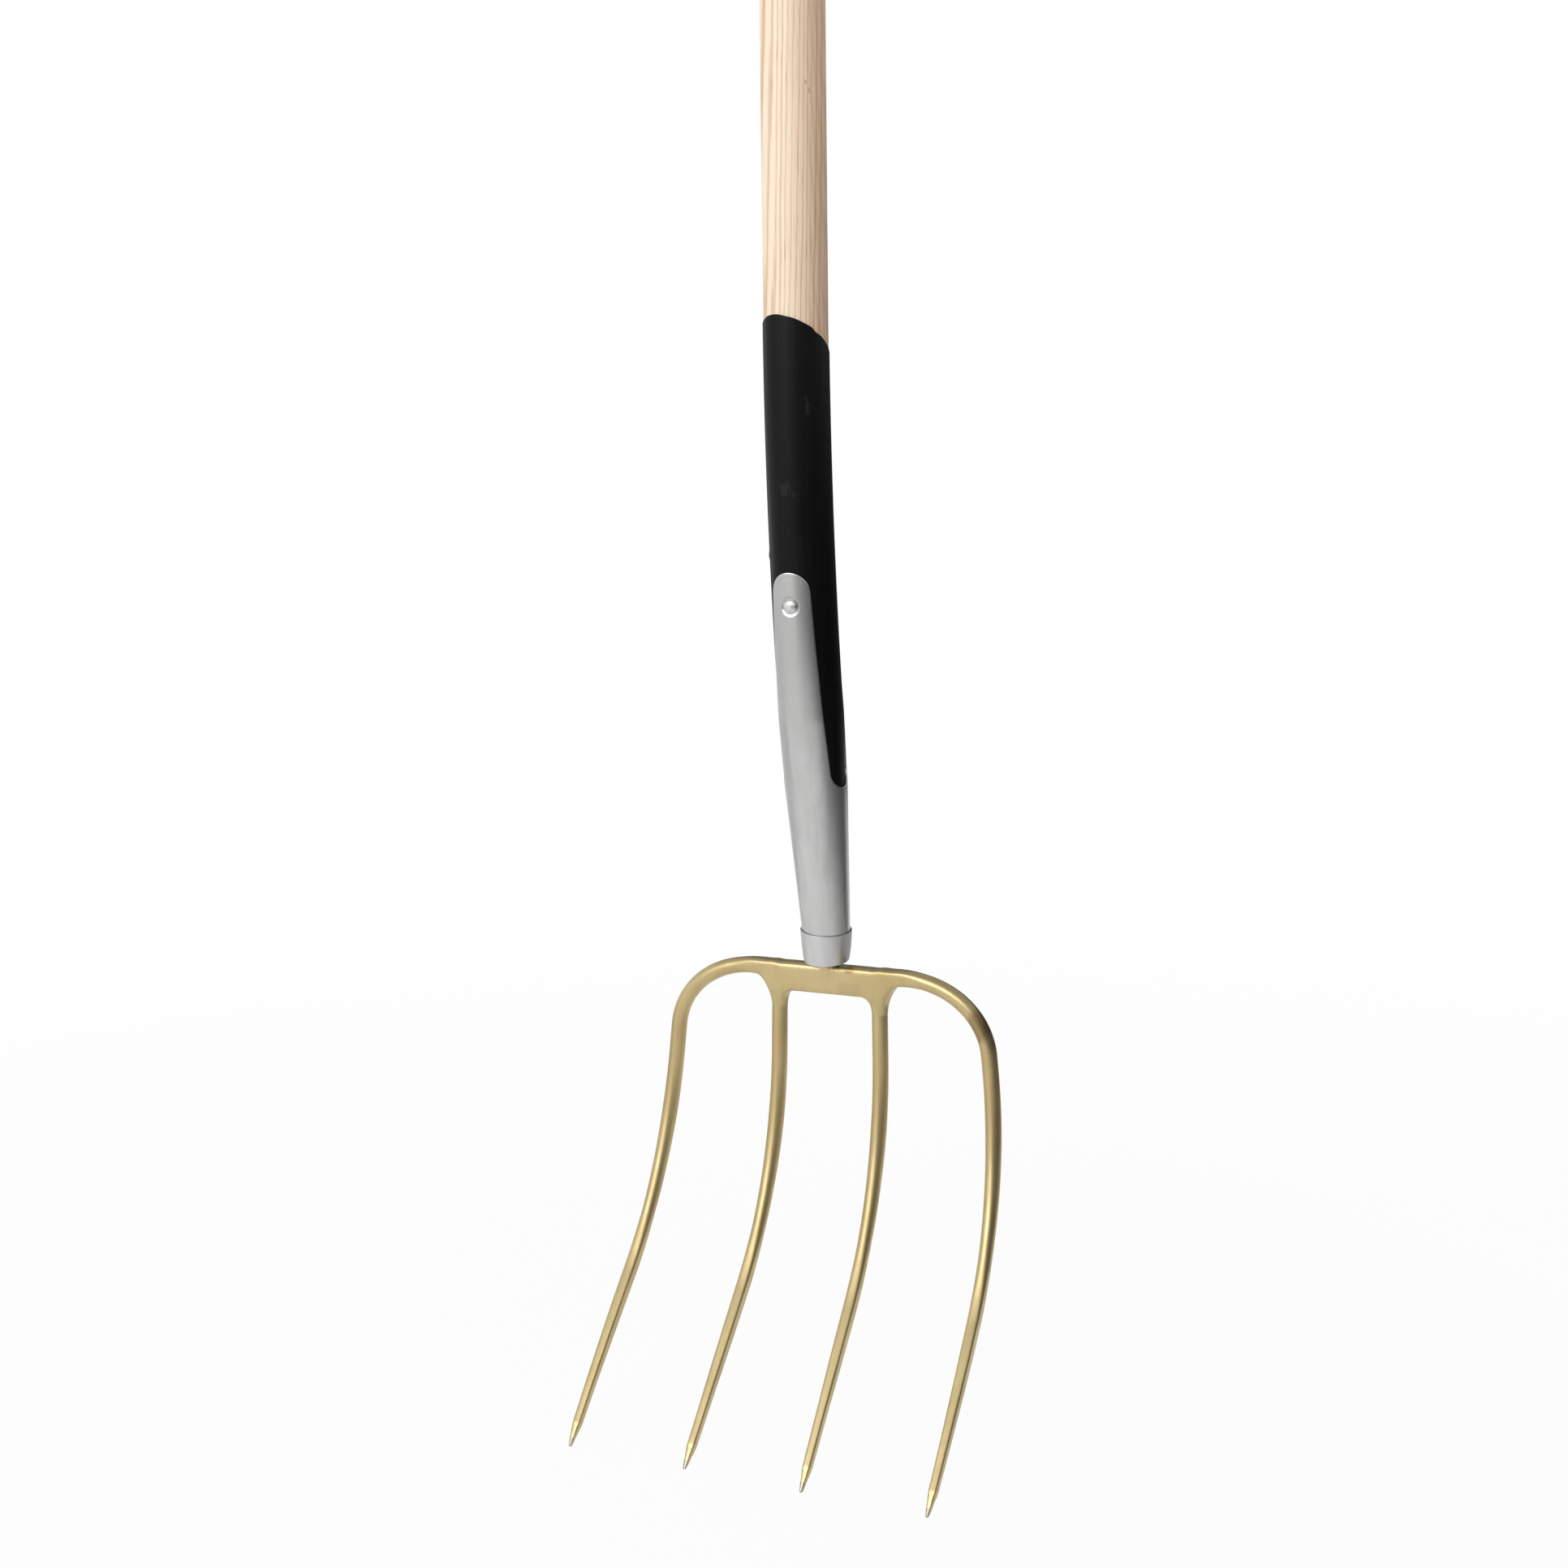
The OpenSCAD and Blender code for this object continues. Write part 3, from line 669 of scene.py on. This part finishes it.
# On the flat blank: distance to the filleted outline, and the section's half width, half depth
# and squareness
def blankOutline(u, v):
    u = np.abs(u)
    gap, atU, atV = nearPath(u, v)
    width, depth, square = tineSection(atV)
    toRound = smooth(atU, bar["flatTo"], bar["shoulderFrom"])
    barHalf = (bar["rise"] + bar["drop"]) / 2
    width = barHalf + toRound * (width - barHalf)
    toTine = smooth(atU, bar["roundFrom"], bar["roundTo"])
    depth = bar["halfDepth"] + toTine * (depth - bar["halfDepth"])
    square = bar["square"] + toTine * (square - bar["square"])
    outer = gap - width
    downTine = np.clip(v, tine["innerTop"], head["tineLength"] - tine["tipHalf"])
    innerGap = np.hypot(u - innerCentre(downTine), v - downTine)
    innerWidth, innerDepth, innerSquare = tineSection(downTine)
    neck = 1 - smooth(downTine, bar["drop"] - bar["neckUp"], bar["drop"] + bar["neck"])
    innerDepth = innerDepth + neck * (bar["halfDepth"] - innerDepth)
    innerSquare = innerSquare + neck * (bar["square"] - 1 - innerSquare)
    inner = innerGap - innerWidth
    outward = smooth(u, bar["filletFrom"], bar["filletTo"])
    fillet = bar["innerFillet"] + (bar["outerFillet"] - bar["innerFillet"]) * outward
    share = smooth(outer - inner, -tine["blend"], tine["blend"])
    return (filletJoin(outer, inner, fillet), width + share * (innerWidth - width),
            depth + share * (innerDepth - depth), square + share * (innerSquare - square))


# The solid: a rounded section raised over the outline, joined to the round collar, negative inside
def blankSolid(outline, u, v, w):
    edge, width, depth, square = outline
    across = np.maximum(1 + edge / width, 0)
    reach = (across ** square + (np.abs(w) / depth) ** square) ** (1 / square)
    forging = (reach - 1) * np.minimum(width, depth)
    top = -bar["rise"] - bar["collarHeight"]
    collar = np.maximum(np.hypot(u, w) - bar["collarRadius"], np.maximum(top - v, v))
    return filletJoin(forging, collar, bar["collarFillet"])


# A mesh of a sampled solid: one point in each cell that the surface crosses, the mean of its edge
# crossings, and a quad round each grid edge that it crosses
def netSurface(field, low, step):
    shape = np.array(field.shape) - 1
    total = np.zeros((*shape, 3))
    count = np.zeros(shape)
    corners = np.array([[i, j, k] for i in (0, 1) for j in (0, 1) for k in (0, 1)])

    def cornerView(c):
        return field[c[0]:c[0] + shape[0], c[1]:c[1] + shape[1], c[2]:c[2] + shape[2]]

    for axis in range(3):
        for start in corners[corners[:, axis] == 0]:
            end = start + np.eye(3, dtype=int)[axis]
            fa = cornerView(start)
            fb = cornerView(end)
            crossed = (fa < 0) != (fb < 0)
            t = np.where(crossed, fa / np.where(crossed, fa - fb, 1), 0)
            for k in range(3):
                total[..., k] += crossed * (start[k] + t * (end[k] - start[k]))
            count += crossed
    cells = np.argwhere(count > 0)
    index = np.full(shape, -1)
    index[count > 0] = np.arange(len(cells))
    points = (cells + total[count > 0] / count[count > 0][:, None]) * step + low
    quads = []
    inside = field < 0
    for axis in range(3):
        p, q = (axis + 1) % 3, (axis + 2) % 3
        ahead = np.roll(inside, -1, axis)
        change = np.argwhere(inside != ahead)
        change = change[change[:, axis] < shape[axis]]
        flip = ahead[tuple(change.T)]
        ring = []
        for a, b in ((-1, -1), (0, -1), (0, 0), (-1, 0)):
            cell = change.copy()
            cell[:, p] += a
            cell[:, q] += b
            ring.append(index[tuple(cell.T)])
        ring = np.stack(ring, -1)
        ring[flip] = ring[flip][:, ::-1]
        quads.append(ring)
    return points, np.concatenate(quads)


# Points moved onto the surface along its slope, measured by small steps each way
def settle(points, rounds=3, nudge=0.05, longest=0.4):
    for _ in range(rounds):
        u, v, w = points.T
        here = blankOutline(u, v)
        value = blankSolid(here, u, v, w)

        def change(du, dv, dw):
            ahead = blankSolid(blankOutline(u + du, v + dv), u + du, v + dv, w + dw)
            return ahead - blankSolid(blankOutline(u - du, v - dv), u - du, v - dv, w - dw)

        slope = np.stack([change(nudge, 0, 0), change(0, nudge, 0), change(0, 0, nudge)], -1) / (2 * nudge)
        steep = np.maximum((slope ** 2).sum(1), 0.05)
        move = -slope * (value / steep)[:, None]
        size = np.maximum(np.linalg.norm(move, axis=1), 1e-9)
        points = points + move * np.minimum(1, longest / size)[:, None]
    return points


# Points drawn towards the mean of their neighbours, which evens out the net
def relax(points, faces, rounds=5, pull=0.5):
    ends = np.concatenate([faces[:, [i, (i + 1) % 4]] for i in range(4)])
    count = np.bincount(ends.ravel(), minlength=len(points))[:, None]
    for _ in range(rounds):
        total = np.zeros(points.shape)
        np.add.at(total, ends[:, 0], points[ends[:, 1]])
        np.add.at(total, ends[:, 1], points[ends[:, 0]])
        points = points + (total / count - points) * pull
    return points


# The flat blank carried onto the side view, then set on the lower end of the pole's axis
def bendBlank(points):
    u, v, w = points.T
    lean = math.radians(head["lean"])
    arc = np.clip(v - head["curlStart"], 0, head["curlRadius"] * math.radians(head["curlAngle"]))
    a = lean + arc / head["curlRadius"]
    first = np.minimum(v, head["curlStart"])
    last = np.maximum(v - head["curlStart"] - arc, 0)
    y = -first * math.sin(lean) + head["curlRadius"] * (np.cos(a) - math.cos(lean)) - last * np.sin(a)
    z = -first * math.cos(lean) - head["curlRadius"] * (np.sin(a) - math.sin(lean)) - last * np.cos(a)
    y = y - w * np.cos(a)
    z = z + w * np.sin(a)
    rootY, rootZ, turn = axisAt(np.array(head["rootAt"]))
    cos, sin = np.cos(turn), np.sin(turn)
    return np.stack([u, rootY + y * cos - z * sin, rootZ + y * sin + z * cos], -1)


# The tang: a straight neck in the ferrule and a long taper up into the handle, its foot sunk in the collar
def tangGrid():
    up = np.array([-tang["sunk"], -tang["sunk"], tang["neck"], tang["length"], tang["length"]])
    r = np.array([0, tang["radius"], tang["radius"], tang["tipRadius"], 0])
    angle = roundAngles(48)
    points = aroundPole(ferrule["base"] - up[:, None], angle[None, :], r[:, None])
    return points.reshape(-1, 3), gridFaces(len(up), len(angle), True)


# Bronze lacquer: cloudy gold with fine grain down the tines, browner shanks, blotches, dark patches of which
# one is a painted shadow, and bare tips
bronzeFinish = dict(gold=(0.575, 0.46, 0.24), deep=(0.41, 0.318, 0.145), rust=(0.50, 0.355, 0.16),
                    glint=(0.66, 0.55, 0.32), bare=(0.45, 0.44, 0.42), scorchAndShadow=(0.24, 0.15, 0.06),
                    metallic=0.85, roughness=0.36, bareLength=9.0, shankFrom=20.0, shankFull=46.0,
                    shankEnd=85.0, shankGone=125.0, shankDepth=0.36, cloudDepth=0.5, blotchDepth=0.3,
                    grainDepth=0.25, glintDepth=0.12)
bronzeScale = dict(cloud=(40, 22, 40), grain=(900, 60, 900), blotch=(60, 24, 60), fleck=1600.0)
# Dark brown patches by their place on the flat blank: two stains, and one painted shadow on the bar's top
# beside the ferrule's foot
stainsAndShadow = [dict(at=(101.0, 22.0), size=(9.0, 13.0), depth=0.7),
                # This one is painted shadow, under the ferrule's overhang
                dict(at=(16.0, -5.5), size=(5.0, 2.6), depth=0.75),
                dict(at=(17.0, 6.0), size=(11.0, 5.0), depth=0.16)]


def bronzeLacquer():
    material, place, feed = newFinish("bronze_lacquer")
    blank = meshValue(place, "blank", "Vector")
    u, v = blank.axes()[:2]
    cloud = blank.stretched(bronzeScale["cloud"]).noise(1.0, 4.0, 0.6)
    grain = blank.stretched(bronzeScale["grain"]).noise(1.0, 3.0, 0.6)
    blotch = blank.stretched(bronzeScale["blotch"], (3, 1, 5)).noise(1.0, 3.0, 0.55).ease(0.6, 0.75)
    fleck = place.noise(bronzeScale["fleck"], 2.0, 0.6)
    tip = head["tineLength"]
    worn = v.ease((tip - bronzeFinish["bareLength"]) * mm, tip * mm) * grain.ease(0.25, 0.65)
    cloudy = cloud.ease(0.35, 0.75) * bronzeFinish["cloudDepth"]
    color = cloudy.tint(bronzeFinish["gold"], bronzeFinish["deep"])
    shank = v.ease(bronzeFinish["shankFrom"] * mm, bronzeFinish["shankFull"] * mm)
    shank = shank * v.ease(bronzeFinish["shankEnd"] * mm, bronzeFinish["shankGone"] * mm, 1.0, 0.0)
    color = (shank * bronzeFinish["shankDepth"]).tint(color, bronzeFinish["rust"])
    color = (blotch * bronzeFinish["blotchDepth"]).tint(color, bronzeFinish["rust"])
    # Stains, and the painted shadow beside the ferrule, in the same dark brown
    for darkSpot in stainsAndShadow:
        patch = (spotReach(darkSpot, u, v) + (cloud - 0.5) * 2.0).ease(0.1, 1.0, darkSpot["depth"], 0.0)
        color = patch.tint(color, bronzeFinish["scorchAndShadow"])
    color = (grain.ease(0.45, 0.75) * bronzeFinish["grainDepth"]).tint(color, bronzeFinish["deep"])
    color = (fleck.ease(0.5, 0.8) * bronzeFinish["glintDepth"]).tint(color, bronzeFinish["glint"])
    color = worn.tint(color, bronzeFinish["bare"])
    rough = cloud.ease(0.25, 0.75, bronzeFinish["roughness"] - 0.05, bronzeFinish["roughness"] + 0.07)
    relief = (grain * 0.3 + fleck * 0.05 + cloud * 0.65).bump(0.12, 0.35)
    feed(color=color, metallic=bronzeFinish["metallic"], roughness=rough, normal=relief)
    return material


# The solid is sampled on a grid that is even about the middle, its surface is evened out and settled,
# then bent, and the tang is added
def buildHead():
    countU = int(np.ceil((tine["outerTip"] + tine["radius"] + 3) / netStep)) * 2
    countW = int(np.ceil((bar["halfDepth"] + 2) / netStep)) * 2
    lowV = -bar["rise"] - bar["collarHeight"] - 3.5
    countV = int(np.ceil((head["tineLength"] + 4 - lowV) / netStep)) + 1
    low = np.array([-(countU - 1) / 2 * netStep, lowV, -(countW - 1) / 2 * netStep])
    u = low[0] + np.arange(countU) * netStep
    v = low[1] + np.arange(countV) * netStep
    w = low[2] + np.arange(countW) * netStep
    outline = [field[:, :, None] for field in blankOutline(*np.meshgrid(u, v, indexing="ij"))]
    field = blankSolid(outline, u[:, None, None], v[None, :, None], w[None, None, :])
    points, faces = netSurface(field, low, netStep)
    points = settle(relax(settle(points, 2), faces))
    tangPoints, tangFaces = tangGrid()
    placed = np.concatenate([bendBlank(points), tangPoints])
    blank = np.concatenate([points, tangPoints * 0 - 2 * bar["rise"]])
    makePiece("forgedHead", placed, np.concatenate([faces, tangFaces + len(points)]), "fork_head",
              bronzeLacquer(), {"blank": blank * mm})


buildHead()

# Camera at the photograph's place
view = dict(azimuth=25.79, pitch=8.10, roll=-0.67, place=(600.0, -1264.9, -80.8), lens=53.95, sensor=36.0,
            clipStart=0.02)


# The camera's axes from its angles: level to the right, turned by the roll, and back towards the camera
def setCamera():
    camera = bpy.data.cameras.new("photoCamera")
    camera.sensor_width = view["sensor"]
    camera.lens = view["lens"]
    camera.clip_start = view["clipStart"]
    azimuth = math.radians(view["azimuth"])
    pitch = math.radians(view["pitch"])
    flat = math.cos(pitch)
    back = Vector((math.sin(azimuth) * flat, -math.cos(azimuth) * flat, math.sin(pitch)))
    level = Vector((math.cos(azimuth), math.sin(azimuth), 0))
    roll = math.radians(view["roll"])
    right = level * math.cos(roll) + back.cross(level) * math.sin(roll)
    turn = Matrix((right, back.cross(right), back)).transposed().to_4x4()
    turn.translation = Vector(view["place"]) * mm
    holder = bpy.data.objects.new("photoCamera", camera)
    holder.matrix_world = turn
    bpy.context.scene.collection.objects.link(holder)
    bpy.context.scene.camera = holder
    return level, back


level, back = setCamera()
towards = Vector((back.x, back.y, 0)).normalized()
print("camera set")

# Soft studio light: a broad lamp on the left, a pale surround that darkens overhead, dark cards on the
# right and behind, and a grey one on the left. Lengths are in metres, but the floor's drop in millimetres
studio = dict(floorDrop=2.0, floorSize=6.0, floorGlow=0.95, floorPale=0.86, floorRough=0.9,
              ambient=0.85, middle=-0.3,
              keyRadiance=3.4, keyWide=1.8, keyTall=1.05, keyFrom=-40.0, keyRise=25.0, keyFar=1.9,
              ceiling=0.45, ceilingFrom=0.3, ceilingTo=0.9, floorFadeFrom=0.5, floorFadeTo=2.2)
cards = dict(sideFlag=dict(start=-30.0, end=130.0, far=1.2, near=0.6, settled=0.5,
                           top=-0.04, low=0.1, lift=0.09, shade=0.06),
             backFlag=dict(start=122.0, end=205.0, far=0.9, near=0.9, settled=0.45,
                           top=0.2, low=0.25, lift=0.0, shade=0.18),
             leftFlag=dict(start=-150.0, end=-95.0, far=1.1, near=1.1, settled=0.5,
                           top=-0.55, low=0.0, lift=0.0, shade=0.6))


# A point round the object: angle from the camera's side towards the right of the picture, then the angle
# up and the distance
def standAt(angle, rise, far):
    angle = math.radians(angle)
    rise = math.radians(rise)
    across = level * math.sin(angle) + towards * math.cos(angle)
    way = across * math.cos(rise) + Vector((0, 0, math.sin(rise)))
    return Vector((0, 0, studio["middle"])) + way * far


# A flat lamp aimed at the middle, its energy worked out from its radiance and its size
def addLamp(name, radiance, wide, tall, where):
    lamp = bpy.data.lights.new(name, "AREA")
    lamp.shape = "RECTANGLE"
    lamp.size = wide
    lamp.size_y = tall
    lamp.energy = radiance * math.pi * wide * tall
    holder = bpy.data.objects.new(name, lamp)
    holder.location = where
    holder.rotation_euler = (where - Vector((0, 0, studio["middle"]))).to_track_quat("Z", "Y").to_euler()
    bpy.context.scene.collection.objects.link(holder)


# Rays that show the background: the camera's own, reflected and transmitted ones
def backdropRays(tree):
    rays = tree.nodes.new("ShaderNodeLightPath")
    kinds = ("Is Camera Ray", "Is Glossy Ray", "Is Transmission Ray")
    parts = [Wire(tree, rays.outputs[kind]) for kind in kinds]
    return (parts[0] + parts[1] + parts[2]).clip()


# A white surround, weaker as light than as background, that darkens overhead
def setWorld():
    world = bpy.data.worlds.new("studioWorld")
    bpy.context.scene.world = world
    world.use_nodes = True
    tree = world.node_tree
    ground = tree.nodes["Background"]
    ground.inputs["Color"].default_value = (1, 1, 1, 1)
    coords = tree.nodes.new("ShaderNodeTexCoord")
    height = Wire(tree, coords.outputs["Generated"]).axes()[2]
    overhead = height.ease(studio["ceilingFrom"], studio["ceilingTo"], 1.0, studio["ceiling"])
    strength = (backdropRays(tree) * (1 - studio["ambient"]) + studio["ambient"]) * overhead
    tree.links.new(strength.socket, ground.inputs["Strength"])


# A pale floor that keeps a little of the object's shadow near it and fades to white further off
def setFloor(z):
    size = studio["floorSize"]
    corners = [(-size, -size, z), (size, -size, z), (size, size, z), (-size, size, z)]
    mesh = bpy.data.meshes.new("studioFloor")
    mesh.from_pydata(corners, [], [(0, 1, 2, 3)])
    floor = bpy.data.objects.new("studioFloor", mesh)
    bpy.context.scene.collection.objects.link(floor)
    paint = bpy.data.materials.new("paleFloor")
    paint.use_nodes = True
    tree = paint.node_tree
    matte = tree.nodes["Principled BSDF"]
    matte.inputs["Base Color"].default_value = (*[studio["floorPale"]] * 3, 1)
    matte.inputs["Roughness"].default_value = studio["floorRough"]
    shown = backdropRays(tree)
    place = Wire(tree, tree.nodes.new("ShaderNodeTexCoord").outputs["Object"])
    away = shown.node("ShaderNodeVectorMath", {"operation": "LENGTH"}, {0: place}, "Value")
    glowing = shown * away.ease(studio["floorFadeFrom"], studio["floorFadeTo"], studio["floorGlow"], 1.0)
    glow = shown.node("ShaderNodeEmission", None, {"Color": (1, 1, 1, 1), "Strength": 1.0})
    mixed = shown.node("ShaderNodeMixShader", None, {0: glowing, 2: glow})
    tree.links.new(matte.outputs[0], mixed.socket.node.inputs[1])
    tree.links.new(mixed.socket, tree.nodes["Material Output"].inputs["Surface"])
    mesh.materials.append(paint)


# A curved dark card that light and reflections meet, but no view. From its start to its end, as angles
# from the camera's side, it comes nearer and its lower edge sinks
def addFlag(name, flag, z):
    turn = np.radians(np.linspace(flag["start"], flag["end"], 40))
    settled = smooth(np.linspace(0, 1, len(turn)), 0, flag["settled"])[:, None]
    across = np.outer(np.sin(turn), level) + np.outer(np.cos(turn), towards)
    foot = across * (flag["far"] + (flag["near"] - flag["far"]) * settled)
    up = np.array([[0, 0, 1]])
    lower = z + flag["low"] + flag["lift"] * (1 - settled)
    points = np.stack([foot + up * lower, foot + up * flag["top"]])
    mesh = bpy.data.meshes.new(name)
    mesh.from_pydata(points.reshape(-1, 3).tolist(), [], gridFaces(2, len(turn)).tolist())
    cloth = bpy.data.materials.new(name)
    cloth.use_nodes = True
    matte = cloth.node_tree.nodes["Principled BSDF"]
    matte.inputs["Base Color"].default_value = (*[flag["shade"]] * 3, 1)
    matte.inputs["Roughness"].default_value = 1.0
    mesh.materials.append(cloth)
    card = bpy.data.objects.new(name, mesh)
    card.visible_camera = False
    bpy.context.scene.collection.objects.link(card)


def setStudio():
    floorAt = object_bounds()[0].z - studio["floorDrop"] * mm
    addLamp("keyLamp", studio["keyRadiance"], studio["keyWide"], studio["keyTall"],
            standAt(studio["keyFrom"], studio["keyRise"], studio["keyFar"]))
    setWorld()
    setFloor(floorAt)
    for name, flag in cards.items():
        addFlag(name, flag, floorAt)
    bpy.context.scene.view_settings.view_transform = "Standard"


setStudio()
print("studio lit")
